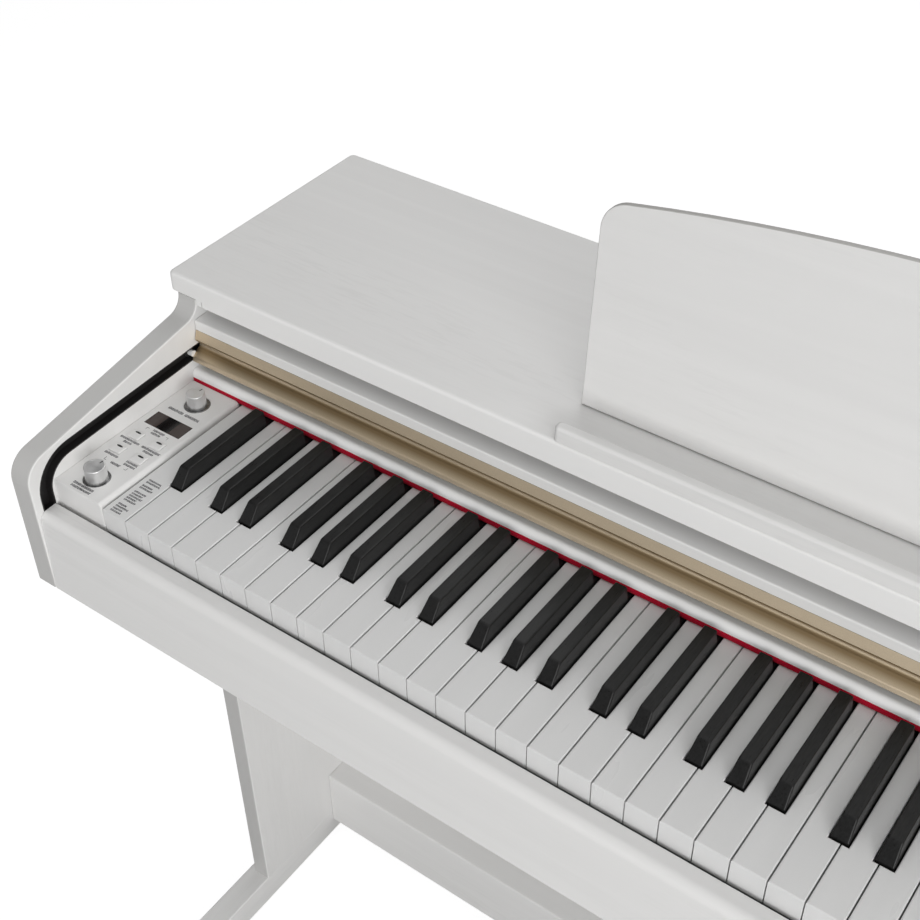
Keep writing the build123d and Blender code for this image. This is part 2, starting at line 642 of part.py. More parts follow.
def rest_prop():
    """A wire loop that swings up from the lid and holds the rest's back."""
    pivot = Pos(0, PROP_PIVOT_Y, PROP_PIVOT_Z) * Rot(PROP_ANGLE, 0, 0)
    corners = [(-PROP_HALF, 0), (PROP_HALF, 0), (PROP_HALF, PROP_LENGTH), (-PROP_HALF, PROP_LENGTH)]
    path = FilletPolyline(*corners, radius=PROP_BEND_R, close=True)
    return pivot * sweep(Plane(path ^ 0) * Circle(PROP_WIRE_R), path=path)


# Lower frame, pedals and feet

def kick_panel():
    """A thin board behind the pedal beam, which braces the legs."""
    front_y = BEAM_REAR_Y + FIT
    panel = block(-BETWEEN_X, BETWEEN_X, front_y, front_y + KICK_THICK, BEAM_BOTTOM_Z, KICK_TOP_Z)
    return fillet(edges_at(panel, "Z", KICK_TOP_Z), 1.2)


def pedal_beam():
    """Front, top and bottom boards of the pedal beam, with pedal slots and the adjuster's hole."""
    beam = block(-BETWEEN_X, BETWEEN_X, BEAM_FRONT_Y, BEAM_FRONT_Y + BOARD_THICK, BEAM_BOTTOM_Z, BEAM_TOP_Z)
    beam += block(-BETWEEN_X, BETWEEN_X, BEAM_FRONT_Y, BEAM_REAR_Y, BEAM_TOP_Z - BOARD_THICK, BEAM_TOP_Z)
    front_top = [e for e in edges_at(beam, "Z", BEAM_TOP_Z) if abs(e.center().Y - BEAM_FRONT_Y) < 0.1]
    beam = fillet(front_top, 2.0)
    slot_y = (BEAM_FRONT_Y - 1, BEAM_FRONT_Y + BOARD_THICK + 1)
    for x in PEDAL_XS:
        beam -= block(x - 14, x + 14, *slot_y, PEDAL_SHAFT_Z - 19, PEDAL_SHAFT_Z + 9)
    beam += block(-130, 130, BEAM_FRONT_Y, BEAM_REAR_Y, BEAM_BOTTOM_Z, BEAM_BOTTOM_Z + 10)
    return beam - Pos(0, BUSH_Y, BEAM_BOTTOM_Z) * Cylinder(5.05, 60)


def pedal_bracket():
    """Steel channel under the beam that holds the pedal shaft and the adjuster's bush."""
    top_z = BEAM_TOP_Z - BOARD_THICK
    y0, y1 = PEDAL_SHAFT_Y - 22, PEDAL_SHAFT_Y + 22
    bracket = block(-112, 112, y0, y1, top_z - 3, top_z)
    for x in (-108, -35, 35, 108):
        bracket += block(x - 2, x + 2, y0, y1, PEDAL_SHAFT_Z - 14, top_z)
    bracket -= rod_x(-120, 120, PEDAL_SHAFT_Y, PEDAL_SHAFT_Z, PEDAL_SHAFT_R + 0.01)
    return bracket


def pedal(x):
    """A lever with a broad rounded pad, bored for the shaft."""
    z0, z1 = PEDAL_SHAFT_Z - 4, PEDAL_SHAFT_Z + 4
    arm_half, pad_half, neck_y, pad_rear_y = 7.5, 12.0, 225.0, 205.0
    arm = [(-arm_half, PEDAL_SHAFT_Y + 12), (-arm_half, neck_y)]
    left = arm + [(-pad_half, pad_rear_y), (-pad_half, PEDAL_FRONT_Y)]
    right = [(-dx, y) for dx, y in reversed(left)]
    plan = make_face(Polyline(*left, *right, close=True))
    toe = [v for v in plan.vertices() if abs(v.Y - PEDAL_FRONT_Y) < 0.1]
    plan = fillet(toe, 10.0)
    lever = extrude(Pos(x, 0, z0) * plan, z1 - z0)
    lever = fillet(edges_at(lever, "Z", z1), 2.4)
    hub = rod_x(x - 10, x + 10, PEDAL_SHAFT_Y, PEDAL_SHAFT_Z, 2 * PEDAL_SHAFT_R)
    return lever + hub - rod_x(x - 20, x + 20, PEDAL_SHAFT_Y, PEDAL_SHAFT_Z, PEDAL_SHAFT_R + 0.06)


def adjuster():
    """Screw foot that props the pedal beam on the floor."""
    foot = Pos(0, BUSH_Y, FLOOR_Z + 4) * Cylinder(18, 8)
    foot = fillet(edges_at(foot, "Z", FLOOR_Z + 8), 2.0)
    return foot + Pos(0, BUSH_Y, FLOOR_Z + 23) * Cylinder(5.0, 34)


def side_foot():
    x0, x1 = OUTER_X + 7 - FOOT_WIDTH, OUTER_X + 7
    foot = block(x0, x1, FRONT_Y + 2, BACK_REAR_Y, FLOOR_Z + PAD_HEIGHT, FLOOR_Z + FOOT_HEIGHT)
    toe = [e for e in foot.edges() if e.center().Y < FRONT_Y + 3 and e.center().Z > FLOOR_Z + FOOT_HEIGHT - 1]
    foot = fillet(toe, 14.0)
    long_edges = [e for e in foot.edges() if e.center().Z > FLOOR_Z + PAD_HEIGHT + 1 and e.length > 20]
    return fillet([e for e in long_edges if abs(e.center().X - (x0 + x1) / 2) > 5], 1.6)


def foot_pads():
    x, z = OUTER_X + 7 - FOOT_WIDTH / 2, FLOOR_Z + PAD_HEIGHT / 2
    return [Pos(side * x, y, z) * Cylinder(PAD_R, PAD_HEIGHT) for side in (-1, 1) for y in PAD_YS]


def screw_head(x, y, z, turn):
    head = fillet(Cylinder(4.5, 2.4).edges().sort_by(Axis.Z)[-1:], 1.0)
    head -= Pos(0, 0, 1.0) * (Box(4.6, 0.9, 1.2) + Box(0.9, 4.6, 1.2))
    return Pos(x, y, z) * turn * head


def cabinet_screws():
    """Pan heads on the back panel and on the kick panel."""
    facing_rear = Rot(-90, 0, 0)
    spots = [(x, BACK_REAR_Y + 1.2, z) for x in (-640, -320, 0, 320, 640) for z in (-85, 60)]
    kick_rear_y = BEAM_REAR_Y + FIT + KICK_THICK
    spots += [(x, kick_rear_y + 1.2, z) for x in (-640, 0, 640) for z in (-350, -600)]
    return [screw_head(x, y, z, facing_rear) for x, y, z in spots]


def main():
    os.makedirs("parts", exist_ok=True)
    side = side_board()
    save("side_right", side)
    save("side_left", mirrored(side))
    liner = groove_liner()
    save("groove_liners", liner, mirrored(liner))
    save("top_panel", top_panel())
    save("music_ledge", music_ledge())
    save("back_panel", back_panel())
    save("power_inlet", power_inlet())
    save("key_bed", key_bed())
    save("keyslip", keyslip())
    save("speaker_drivers", speaker_driver(-SPEAKER_X), speaker_driver(SPEAKER_X))
    save("speaker_grilles", speaker_grille(-SPEAKER_X), speaker_grille(SPEAKER_X))
    save("control_block", control_block())
    save("power_block", power_block())
    save("display_window", display_window())
    save("knob_collars", knob_collar(VOLUME_Y), knob_collar(DATA_Y))
    save("volume_knob", knob(VOLUME_Y, VOLUME_R))
    save("data_knob", knob(DATA_Y, DATA_R))
    for number, (x, y) in enumerate(button_centres(), 1):
        save(f"panel_button_{number}", panel_button(x, y))
    save("power_button", power_button())
    save("felt_strip", felt_strip())
    save("stop_rail", stop_rail())
    save("circuit_boards", *circuit_boards())
    save("key_frame", *key_frame())
    save("key_pivot_rod", rod_x(-HALF_KEYS + 2, HALF_KEYS - 2, PIVOT_Y, PIVOT_Z, PIVOT_R))
    save_keys()
    save("cover_lip", cover_lip())
    save("cover_board", cover_board())
    save("cover_trim", cover_trim())
    save("cover_rollers", *cover_rollers())
    save("rest_panel", rest_panel())
    save("rest_hinges", *rest_hinges())
    save("rest_brackets", *rest_brackets())
    save("rest_prop", rest_prop())
    save("kick_panel", kick_panel())
    save("pedal_beam", pedal_beam())
    save("pedal_bracket", pedal_bracket())
    shaft_half = 112
    save("pedal_shaft", rod_x(-shaft_half, shaft_half, PEDAL_SHAFT_Y, PEDAL_SHAFT_Z, PEDAL_SHAFT_R))
    for name, x in zip(PEDAL_NAMES, PEDAL_XS):
        save(f"pedal_{name}", pedal(x))
    save("adjuster", adjuster())
    foot = side_foot()
    save("side_feet", foot, mirrored(foot))
    save("foot_pads", *foot_pads())
    save("cabinet_screws", *cabinet_screws())


main()
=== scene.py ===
"""A white console digital piano: camera, light, materials and the pieces that CAD leaves to Blender."""

import json
import math
import random

import bmesh
import bpy
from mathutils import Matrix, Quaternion, Vector


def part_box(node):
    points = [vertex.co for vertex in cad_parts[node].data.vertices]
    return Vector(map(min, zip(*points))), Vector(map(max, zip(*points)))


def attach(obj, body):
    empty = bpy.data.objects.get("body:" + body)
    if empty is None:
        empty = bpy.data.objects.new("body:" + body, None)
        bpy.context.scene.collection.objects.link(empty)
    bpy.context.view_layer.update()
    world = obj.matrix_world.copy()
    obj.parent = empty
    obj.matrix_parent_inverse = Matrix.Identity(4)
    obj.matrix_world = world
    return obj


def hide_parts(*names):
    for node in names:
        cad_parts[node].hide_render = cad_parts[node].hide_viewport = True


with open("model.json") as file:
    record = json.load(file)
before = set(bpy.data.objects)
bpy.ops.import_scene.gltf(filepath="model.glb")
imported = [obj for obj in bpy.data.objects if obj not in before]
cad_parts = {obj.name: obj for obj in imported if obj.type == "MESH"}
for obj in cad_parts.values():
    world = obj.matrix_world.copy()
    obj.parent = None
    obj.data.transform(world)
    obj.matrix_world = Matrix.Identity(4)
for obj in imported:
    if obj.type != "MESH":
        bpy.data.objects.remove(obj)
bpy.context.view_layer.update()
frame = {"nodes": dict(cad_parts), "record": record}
NODES = frame["nodes"]
MM = 0.001

# Camera: it stands at the treble side, before the keys, and looks down on the bass end
CAMERA_PLACE = (0.06995, -0.66176, 1.45272)
CAMERA_AZIMUTH = 36.36
CAMERA_ELEVATION = 40.62
CAMERA_ROLL = -0.78
CAMERA_LENS = 56.65
CAMERA_SHIFT = (-0.0047, -0.0008)

ROOM_LIGHT = 0.12
FLOOR_GLOW = 0.90
FLOOR_REACH = 14.0
LIGHT_TARGET = (-0.35, -0.05, 0.78)
# Each light's place in metres, its width and height in metres, and its power in watts
LIGHTS = {
    "key_low": ((2.6, -2.3, 1.5), (2.2, 1.6), 68),
    "key_high": ((2.0, -1.8, 3.0), (2.4, 2.0), 10),
    "front_low": ((0.2, -3.2, 1.2), (3.6, 1.4), 27),
    "right_side": ((3.2, 0.4, 1.7), (2.4, 1.8), 14),
    "left_fill": ((-2.4, -2.2, 1.7), (2.2, 1.6), 5),
    "ceiling_front": ((-0.3, -1.6, 3.2), (3.4, 1.8), 9),
    "ceiling": ((-0.3, 0.3, 3.4), (3.4, 2.4), 20),
    "ceiling_rear": ((-0.3, 2.4, 3.0), (3.4, 1.8), 36),
}

# Linear colours
LACQUER = (0.80, 0.795, 0.785)
LACQUER_PORE = (0.70, 0.695, 0.685)
# Painted light and shade on edges: a darker tone on the side boards' edge faces and on the rest's upward and
# downward edges is painted shade, and a lighter tone on the lid's front edge is a painted highlight
SIDE_EDGE_PAINTED_SHADE = (0.56, 0.555, 0.545)
REST_EDGE_PAINTED_SHADE = (0.46, 0.45, 0.435)
LID_FRONT_PAINTED_HIGHLIGHT = (0.87, 0.865, 0.855)
PANEL_WHITE = (0.80, 0.795, 0.785)
RAIL_WHITE = (0.90, 0.90, 0.89)
KEY_WHITE = (0.725, 0.725, 0.72)
KEY_BLACK = (0.006, 0.006, 0.006)
KEY_BLACK_GRAIN = (0.013, 0.013, 0.013)
CHAMPAGNE = (0.78, 0.665, 0.50)
# The dark of the bead specks, and the painted shade in the finger rail's cove
CHAMPAGNE_SPECK_AND_COVE_SHADE = (0.31, 0.225, 0.125)
# Painted shade in the cove of the finger rail: it deepens between these distances from the rail's front
COVE_SHADE_FRONT = 1.8 * MM
COVE_SHADE_REAR = 6.0 * MM
# The dark colour reaches this far in from the rollers' outer faces
ROLLER_DEPTH = 1.9 * MM
DARK_ROLLER = (0.02, 0.02, 0.02)
COLLAR_GREY = (0.30, 0.30, 0.30)
TURNED_LIGHT = (0.80, 0.80, 0.80)
TURNED_DARK = (0.72, 0.72, 0.72)
INK = (0.045, 0.045, 0.05)
INK_THIN = (0.10, 0.10, 0.11)
DISPLAY_DARK = (0.006, 0.005, 0.005)
DISPLAY_HAZE = ((0.040, 0.027, 0.024), (0.052, 0.036, 0.032))
FELT_RED = (0.62, 0.008, 0.036)
FELT_SHADE = (0.36, 0.004, 0.019)


# Camera, floor and light

def add_camera():
    """The view of the piano's bass end from the front right."""
    azimuth = math.radians(CAMERA_AZIMUTH)
    elevation = math.radians(CAMERA_ELEVATION)
    level = math.cos(elevation)
    forward = Vector((-math.sin(azimuth) * level, math.cos(azimuth) * level, -math.sin(elevation)))
    data = bpy.data.cameras.new("camera")
    data.lens = CAMERA_LENS
    data.shift_x, data.shift_y = CAMERA_SHIFT
    data.clip_start = 0.01
    camera = bpy.data.objects.new("camera", data)
    bpy.context.scene.collection.objects.link(camera)
    camera.location = CAMERA_PLACE
    camera.rotation_mode = "QUATERNION"
    roll = Quaternion((0, 0, 1), math.radians(CAMERA_ROLL))
    camera.rotation_quaternion = forward.to_track_quat("-Z", "Y") @ roll
    bpy.context.scene.camera = camera


def area_light(name, place, size, power):
    data = bpy.data.lights.new(name, "AREA")
    data.shape = "RECTANGLE"
    data.size, data.size_y = size
    data.energy = power
    light = bpy.data.objects.new(name, data)
    bpy.context.scene.collection.objects.link(light)
    light.location = place
    direction = Vector(LIGHT_TARGET) - Vector(place)
    light.rotation_mode = "QUATERNION"
    light.rotation_quaternion = direction.to_track_quat("-Z", "Y")


def seen_by_camera(tree, otherwise, seen, output):
    """The camera sees one shader, and the object is lit by another."""
    path = tree.nodes.new("ShaderNodeLightPath")
    mix = tree.nodes.new("ShaderNodeMixShader")
    tree.links.new(path.outputs["Is Camera Ray"], mix.inputs["Fac"])
    tree.links.new(otherwise, mix.inputs[1])
    tree.links.new(seen, mix.inputs[2])
    tree.links.new(mix.outputs[0], output)


def add_world():
    """A dim, even room, which the camera sees as white."""
    world = bpy.data.worlds.new("studio")
    world.use_nodes = True
    bpy.context.scene.world = world
    tree = world.node_tree
    tree.nodes.clear()
    output = tree.nodes.new("ShaderNodeOutputWorld")
    seen, light = tree.nodes.new("ShaderNodeBackground"), tree.nodes.new("ShaderNodeBackground")
    seen.inputs["Color"].default_value = (1, 1, 1, 1)
    light.inputs["Color"].default_value = (1, 1, 1, 1)
    light.inputs["Strength"].default_value = ROOM_LIGHT
    seen_by_camera(tree, light.outputs[0], seen.outputs[0], output.inputs["Surface"])


def add_floor():
    """A plain pale floor. To the camera it glows, so that it stays as white as the backdrop."""
    mesh = bpy.data.meshes.new("floor")
    corners = [(x * FLOOR_REACH, y * FLOOR_REACH, 0) for x, y in ((-1, -1), (1, -1), (1, 1), (-1, 1))]
    mesh.from_pydata(corners, [], [(0, 1, 2, 3)])
    floor = bpy.data.objects.new("floor", mesh)
    bpy.context.scene.collection.objects.link(floor)
    paper = Recipe("floor_paper", roughness=0.9, specular=0.1)
    paper.socket("Base Color").default_value = (0.5, 0.5, 0.5, 1)
    glowing = paper.node("BsdfPrincipled")
    glowing.inputs["Base Color"].default_value = (0.25, 0.25, 0.25, 1)
    glowing.inputs["Roughness"].default_value = 0.9
    glowing.inputs["Specular IOR Level"].default_value = 0.0
    glowing.inputs["Emission Color"].default_value = (1, 1, 1, 1)
    glowing.inputs["Emission Strength"].default_value = FLOOR_GLOW
    output = paper.tree.nodes["Material Output"]
    seen_by_camera(paper.tree, paper.shader.outputs[0], glowing.outputs[0], output.inputs["Surface"])
    mesh.materials.append(paper.material)


def add_lights():
    """Large soft boxes: low and high keys from the right, fills in front and at the sides, and a ceiling."""
    for name, (place, size, power) in LIGHTS.items():
        area_light(name, place, size, power)
    scene = bpy.context.scene
    scene.view_settings.view_transform = "Standard"
    scene.view_settings.look = "None"


# Materials: everything is measured in metres, on the object's own coordinates

class Recipe:
    """A material built up from a Principled shader, with short ways to add pattern nodes."""

    def __init__(self, name, roughness=0.5, metallic=0.0, specular=0.5):
        self.material = bpy.data.materials.new(name)
        self.material.use_nodes = True
        self.tree = self.material.node_tree
        self.shader = self.tree.nodes["Principled BSDF"]
        self.shader.inputs["Roughness"].default_value = roughness
        self.shader.inputs["Metallic"].default_value = metallic
        self.shader.inputs["Specular IOR Level"].default_value = specular
        self.coordinates = self.tree.nodes.new("ShaderNodeTexCoord")
        self.normal = None

    def socket(self, name):
        return self.shader.inputs[name]

    def link(self, source, target):
        self.tree.links.new(source, target)

    def node(self, kind, **settings):
        made = self.tree.nodes.new("ShaderNode" + kind)
        for key, value in settings.items():
            setattr(made, key, value)
        return made

    def stretched(self, scale):
        """Object coordinates, scaled by a number for each axis."""
        mapping = self.node("Mapping")
        mapping.inputs["Scale"].default_value = scale
        self.link(self.coordinates.outputs["Object"], mapping.inputs["Vector"])
        return mapping.outputs["Vector"]

    def noise(self, scale, detail=3.0, roughness=0.55, distortion=0.0):
        """Noise whose frequency along each axis is given in cycles per metre."""
        texture = self.node("TexNoise")
        texture.inputs["Scale"].default_value = 1.0
        texture.inputs["Detail"].default_value = detail
        texture.inputs["Roughness"].default_value = roughness
        texture.inputs["Distortion"].default_value = distortion
        self.link(self.stretched(scale), texture.inputs["Vector"])
        return texture.outputs["Fac"]

    def levels(self, source, low, high, out_low=0.0, out_high=1.0):
        """Values from low to high become out_low to out_high, and the rest is clamped."""
        remap = self.node("MapRange")
        for name, value in (("From Min", low), ("From Max", high), ("To Min", out_low), ("To Max", out_high)):
            remap.inputs[name].default_value = value
        self.link(source, remap.inputs["Value"])
        return remap.outputs["Result"]

    def maths(self, operation, first, second):
        node = self.node("Math", operation=operation)
        for value, target in ((first, node.inputs[0]), (second, node.inputs[1])):
            if isinstance(value, (int, float)):
                target.default_value = value
            else:
                self.link(value, target)
        return node.outputs[0]

    def mixed(self, factor, first, second):
        """A colour between two colours. Each is a tuple or another node's output."""
        node = self.node("Mix", data_type="RGBA")
        self.link(factor, node.inputs["Factor"])
        for value, target in ((first, node.inputs[6]), (second, node.inputs[7])):
            if isinstance(value, tuple):
                target.default_value = (*value, 1)
            else:
                self.link(value, target)
        return node.outputs[2]

    def bump(self, height, strength, distance):
        """Adds a layer of relief on top of those added before."""
        node = self.node("Bump")
        node.inputs["Strength"].default_value = strength
        node.inputs["Distance"].default_value = distance
        self.link(height, node.inputs["Height"])
        if self.normal is not None:
            self.link(self.normal, node.inputs["Normal"])
        self.normal = node.outputs["Normal"]
        self.link(self.normal, self.shader.inputs["Normal"])

    def colour(self, value):
        if isinstance(value, tuple):
            self.socket("Base Color").default_value = (*value, 1)
        else:
            self.link(value, self.socket("Base Color"))

    def part_of(self, coordinate, axis):
        """One axis, 0 to 2, of a coordinate of the object."""
        split = self.node("SeparateXYZ")
        self.link(self.coordinates.outputs[coordinate], split.inputs[0])
        return split.outputs[axis]

    def gloss(self, source, low, high):
        """A roughness from low to high, led by noise."""
        self.link(self.levels(source, 0.3, 0.7, low, high), self.socket("Roughness"))

    def axis_of_normal(self, axis):
        """How squarely a surface faces an axis of the object, from 0 to 1."""
        return self.maths("ABSOLUTE", self.part_of("Normal", axis), 0.0)


def grain_scale(axis, along, across):
    """Frequencies for a pattern drawn out along one axis: 0, 1 or 2."""
    scale = [across] * 3
    scale[axis] = along
    return scale


def pores(recipe, axis):
    """The open pores of ash under lacquer: short wavy dashes along the grain, in a few patches."""
    dashes = recipe.levels(recipe.noise(grain_scale(axis, 34, 300), 3.0, 0.55, 0.5), 0.50, 0.66)
    patch = recipe.levels(recipe.noise(grain_scale(axis, 1.7, 5.5), 2.0, 0.5, 0.6), 0.50, 0.66, 0.06, 1.0)
    return recipe.maths("MULTIPLY", dashes, patch)


def figure(recipe, axis):
    """The slow light and dark of growth rings along the grain."""
    return recipe.noise(grain_scale(axis, 1.3, 34), 4.0, 0.6, 1.2)


def lacquered_wood(name, axes=(0,), painted_edge_tone=None, painted_edge_axis=0):
    """Satin white lacquer over open-pored ash. The grain runs along the first axis, and on upward faces along
    the second. A flat edge tone, which paints light and shade onto the edges, covers the faces that look
    along the edge axis, or for axis 0 all the others."""
    recipe = Recipe(name, roughness=0.42, specular=0.40)
    pore, rings = pores(recipe, axes[0]), figure(recipe, axes[0])
    if len(axes) > 1:
        upward = recipe.levels(recipe.axis_of_normal(2), 0.6, 0.8)
        blend = recipe.node("Mix")
        recipe.link(upward, blend.inputs["Factor"])
        recipe.link(pore, blend.inputs["A"])
        recipe.link(pores(recipe, axes[1]), blend.inputs["B"])
        pore = blend.outputs["Result"]
    tone = recipe.mixed(recipe.levels(rings, 0.35, 0.65, 0.0, 0.22), LACQUER, LACQUER_PORE)
    tone = recipe.mixed(recipe.levels(pore, 0.0, 1.0, 0.0, 0.34), tone, LACQUER_PORE)
    # Painted light and shade: the edge faces take a flat lighter or darker tone in place of the way light
    # falls on them
    if painted_edge_tone:
        amount = (1.0, 0.0) if painted_edge_axis == 0 else (0.0, 1.0)
        edge = recipe.levels(recipe.axis_of_normal(painted_edge_axis), 0.5, 0.75, *amount)
        tone = recipe.mixed(edge, tone, painted_edge_tone)
    recipe.colour(tone)
    recipe.gloss(rings, 0.40, 0.47)
    recipe.bump(rings, 0.12, 0.20 * MM)
    recipe.bump(recipe.maths("SUBTRACT", 1.0, pore), 0.26, 0.06 * MM)
    return recipe.material


def moulded_plastic(name, colour, roughness, darker=0.94):
    """Moulded plastic with a fine etched skin and a little unevenness in its gloss."""
    recipe = Recipe(name, specular=0.5)
    cloud = recipe.noise((9, 9, 9), 3.0)
    shade = tuple(c * darker for c in colour)
    recipe.colour(recipe.mixed(cloud, colour, shade))
    recipe.gloss(cloud, roughness - 0.05, roughness + 0.06)
    recipe.bump(recipe.noise((1500, 1500, 1500), 2.0), 0.12, 0.03 * MM)
    return recipe.material


def key_plastic(name):
    """White key plastic: smooth, with the faintest waviness along each key."""
    recipe = Recipe(name, specular=0.5)
    cloud = recipe.noise((40, 7, 7), 3.0)
    shade = tuple(c * 0.95 for c in KEY_WHITE)
    recipe.colour(recipe.mixed(recipe.levels(cloud, 0.3, 0.7, 0.0, 0.6), KEY_WHITE, shade))
    recipe.gloss(cloud, 0.26, 0.36)
    recipe.bump(recipe.noise((160, 30, 60), 2.0), 0.08, 0.05 * MM)
    return recipe.material


def black_key_plastic(name):
    """Black key plastic: matte, with a grain drawn out along the key."""
    recipe = Recipe(name, specular=0.30)
    grain = recipe.noise((900, 120, 900), 3.0, 0.6)
    recipe.colour(recipe.mixed(recipe.levels(grain, 0.35, 0.7), KEY_BLACK, KEY_BLACK_GRAIN))
    recipe.gloss(grain, 0.27, 0.38)
    recipe.bump(grain, 0.14, 0.05 * MM)
    return recipe.material


def brushed_metal(name, colour, axis, roughness=0.34):
    """Metal brushed along one axis."""
    recipe = Recipe(name, metallic=1.0)
    lines = recipe.noise(grain_scale(axis, 12, 2400), 3.0, 0.7)
    cloud = recipe.noise(grain_scale(axis, 3, 40), 2.0)
    recipe.colour(recipe.mixed(recipe.levels(lines, 0.3, 0.7), colour, tuple(c * 0.86 for c in colour)))
    recipe.gloss(cloud, roughness - 0.05, roughness + 0.08)
    recipe.bump(lines, 0.18, 0.03 * MM)
    return recipe.material


def blasted_metal(name, colour, speck_and_cove_shade):
    """Bead-blasted and anodised aluminium: an even, fine sparkle. The cove's upward floor is darkened towards
    the rear, a painted shade and dark reflection.
    """
    recipe = Recipe(name, metallic=1.0)
    beads = recipe.noise((2300, 2300, 2300), 3.0, 0.7)
    cloud = recipe.noise((3, 22, 22), 2.0)
    # Painted shade and reflection: upward faces in the cove, more towards the rear, are mixed towards the
    # dark colour
    upward = recipe.levels(recipe.axis_of_normal(2), 0.25, 0.72)
    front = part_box("cover_trim")[0].y
    cove_shade_depth = recipe.levels(recipe.part_of("Object", 1), front + COVE_SHADE_FRONT, front + COVE_SHADE_REAR, 0.35, 1.0)
    tone = recipe.mixed(recipe.maths("MULTIPLY", upward, cove_shade_depth), colour, speck_and_cove_shade)
    # The bead sparkle is the metal's own texture, and its dark specks use the same dark colour
    speck = recipe.levels(beads, 0.3, 0.7, 0.0, 0.28)
    recipe.colour(recipe.mixed(speck, tone, speck_and_cove_shade))
    recipe.gloss(cloud, 0.46, 0.54)
    recipe.bump(beads, 0.35, 0.04 * MM)
    return recipe.material


def roller_plastic():
    """Pale axle stubs. From a set depth in from their outer faces, where they lie inside the grooves, they
    are coloured dark.
    """
    recipe = Recipe("roller_plastic", roughness=0.4)
    roller_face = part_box("cover_rollers")[1].x - ROLLER_DEPTH
    outward = recipe.maths("ABSOLUTE", recipe.part_of("Object", 0), 0.0)
    inside = recipe.levels(outward, roller_face, roller_face + 0.1 * MM)
    recipe.colour(recipe.mixed(inside, PANEL_WHITE, DARK_ROLLER))
    recipe.bump(recipe.noise((900, 900, 900), 2.0), 0.1, 0.03 * MM)
    return recipe.material


def turned_metal(name, node):
    """Aluminium turned on a lathe: faint rings on the top face, and a smooth side."""
    low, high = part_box(node)
    centre = (low + high) / 2
    recipe = Recipe(name, metallic=1.0)
    shift = recipe.node("Mapping")
    shift.inputs["Location"].default_value = (-centre.x, -centre.y, 0)
    recipe.link(recipe.coordinates.outputs["Object"], shift.inputs["Vector"])
    flat = recipe.node("VectorMath", operation="MULTIPLY")
    flat.inputs[1].default_value = (1, 1, 0)
    recipe.link(shift.outputs["Vector"], flat.inputs[0])
    radius = recipe.node("VectorMath", operation="LENGTH")
    recipe.link(flat.outputs[0], radius.inputs[0])
    rings = recipe.node("TexNoise", noise_dimensions="1D")
    rings.inputs["Scale"].default_value = 1400
    rings.inputs["Detail"].default_value = 2.0
    recipe.link(radius.outputs["Value"], rings.inputs["W"])
    upward = recipe.levels(recipe.axis_of_normal(2), 0.7, 0.9)
    faced = recipe.maths("MULTIPLY", rings.outputs["Fac"], upward)
    recipe.colour(recipe.mixed(faced, TURNED_LIGHT, TURNED_DARK))
    recipe.link(recipe.levels(upward, 0.0, 1.0, 0.34, 0.40), recipe.socket("Roughness"))
    recipe.socket("Anisotropic").default_value = 0.45
    tangent = recipe.node("Tangent", direction_type="RADIAL", axis="Z")
    recipe.link(tangent.outputs[0], recipe.socket("Tangent"))
    return recipe.material


def felt():
    """Dyed wool felt: matted fibres in two sizes, with a slight sheen."""
    recipe = Recipe("red_felt", roughness=0.95, specular=0.05)
    mat = recipe.noise((700, 700, 700), 5.0, 0.7, 0.8)
    fibre = recipe.noise((2600, 1100, 1900), 3.0, 0.7, 1.5)
    both = recipe.maths("MULTIPLY", mat, fibre)
    recipe.colour(recipe.mixed(recipe.levels(both, 0.12, 0.36), FELT_SHADE, FELT_RED))
    recipe.socket("Sheen Weight").default_value = 0.06
    recipe.socket("Sheen Roughness").default_value = 0.5
    recipe.bump(both, 0.9, 0.35 * MM)
    return recipe.material


def display_glass():
    """A smoked window. Its middle third is the dark display itself."""
    low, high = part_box("display_window")
    third = (high.x - low.x) / 3
    recipe = Recipe("display_glass", roughness=0.16, specular=0.5)
    across = recipe.part_of("Object", 0)
    left = recipe.levels(across, low.x + third - 0.3 * MM, low.x + third + 0.1 * MM)
    right = recipe.levels(across, high.x - third - 0.1 * MM, high.x - third + 0.3 * MM, 1.0, 0.0)
    middle = recipe.maths("MULTIPLY", left, right)
    haze = recipe.noise((300, 300, 300), 2.0)
    brown = recipe.mixed(haze, *DISPLAY_HAZE)
    recipe.colour(recipe.mixed(middle, brown, DISPLAY_DARK))
    recipe.bump(haze, 0.02, 0.01 * MM)
    return recipe.material


def rough_solid(name, colour, roughness, cell=600, depth=0.08, metallic=0.0, strength=0.4):
    """A plain working material with a grain of its own: rubber, board or cast parts."""
    recipe = Recipe(name, metallic=metallic)
    grain = recipe.noise((cell, cell, cell), 4.0, 0.6)
    cloud = recipe.noise((14, 14, 14), 3.0)
    recipe.colour(recipe.mixed(recipe.levels(cloud, 0.3, 0.7), colour, tuple(c * 0.8 for c in colour)))
    recipe.gloss(grain, roughness - 0.08, roughness + 0.08)
    recipe.bump(grain, strength, depth * MM)
    return recipe.material


def ink():
    """Screen-printed ink, a little uneven at its edges."""
    recipe = Recipe("print_ink", roughness=0.6, specular=0.3)
    speck = recipe.noise((2500, 2500, 2500), 2.0)
    recipe.colour(recipe.mixed(recipe.levels(speck, 0.4, 0.7), INK, INK_THIN))
    recipe.bump(speck, 0.1, 0.01 * MM)
    return recipe.material


